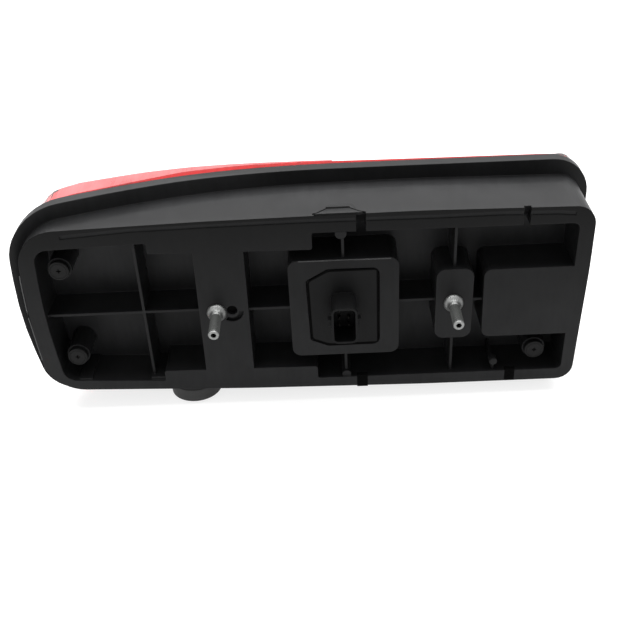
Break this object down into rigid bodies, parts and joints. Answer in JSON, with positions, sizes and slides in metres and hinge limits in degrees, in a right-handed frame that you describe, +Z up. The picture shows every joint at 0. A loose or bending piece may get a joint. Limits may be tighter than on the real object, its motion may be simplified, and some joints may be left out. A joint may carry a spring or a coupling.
{
  "type": "tail light cluster",
  "caption": "Oblong rear combination lamp with a black open-backed housing, wraparound lens, studs for fixing, a central plug socket and a round buzzer below",
  "frame": {"origin": "midway between the studs, on the plane of the tops of their collars, where the lamp bracket rests; the rear rim lies 3 mm in front of it", "axes": "+X right as seen from behind, along the length; +Y forwards to the lens; +Z up; the studs stand out along -Y"},
  "size_m": [0.3688, 0.092, 0.1509],
  "materials": {
    "housing_plastic": "satin black moulding",
    "connector_plastic": "satin black moulding",
    "pin_metal": "plated",
    "seal_rubber": "matt",
    "stud_steel": "zinc plated",
    "screw_plastic": "satin",
    "lens_red": "clear red plastic",
    "lens_amber": "clear amber plastic",
    "lens_clear": "clear plastic",
    "reflex_red": "prismatic red plastic",
    "bright_plating": "vacuum plated",
    "bulb_amber": "clear",
    "bulb_glass": "clear",
    "socket_plastic": "matt",
    "strip_metal": "plain",
    "buzzer_plastic": "matt"
  },
  "bodies": {
    "root": {"rear_housing": "housing_plastic", "connector_plate": "connector_plastic", "contact_pins": "pin_metal", "plate_seal": "seal_rubber", "stud_left": "stud_steel", "stud_right": "stud_steel", "lens_screws": "screw_plastic", "lens": "lens_red", "lens_seal": "seal_rubber", "indicator_window": "lens_amber", "reverse_window": "lens_clear", "reflex_reflector": "reflex_red", "reflector_panel": "bright_plating", "indicator_bulb": "bulb_amber", "stop_bulb": "bulb_glass", "tail_bulb": "bulb_glass", "reverse_bulb": "bulb_glass", "indicator_socket": "socket_plastic", "stop_socket": "socket_plastic", "tail_socket": "socket_plastic", "reverse_socket": "socket_plastic", "contact_strip": "strip_metal", "buzzer_body": "buzzer_plastic", "buzzer_grille": "buzzer_plastic", "buzzer_seal": "seal_rubber", "breather_plug": "seal_rubber"}
  },
  "joints": []
}
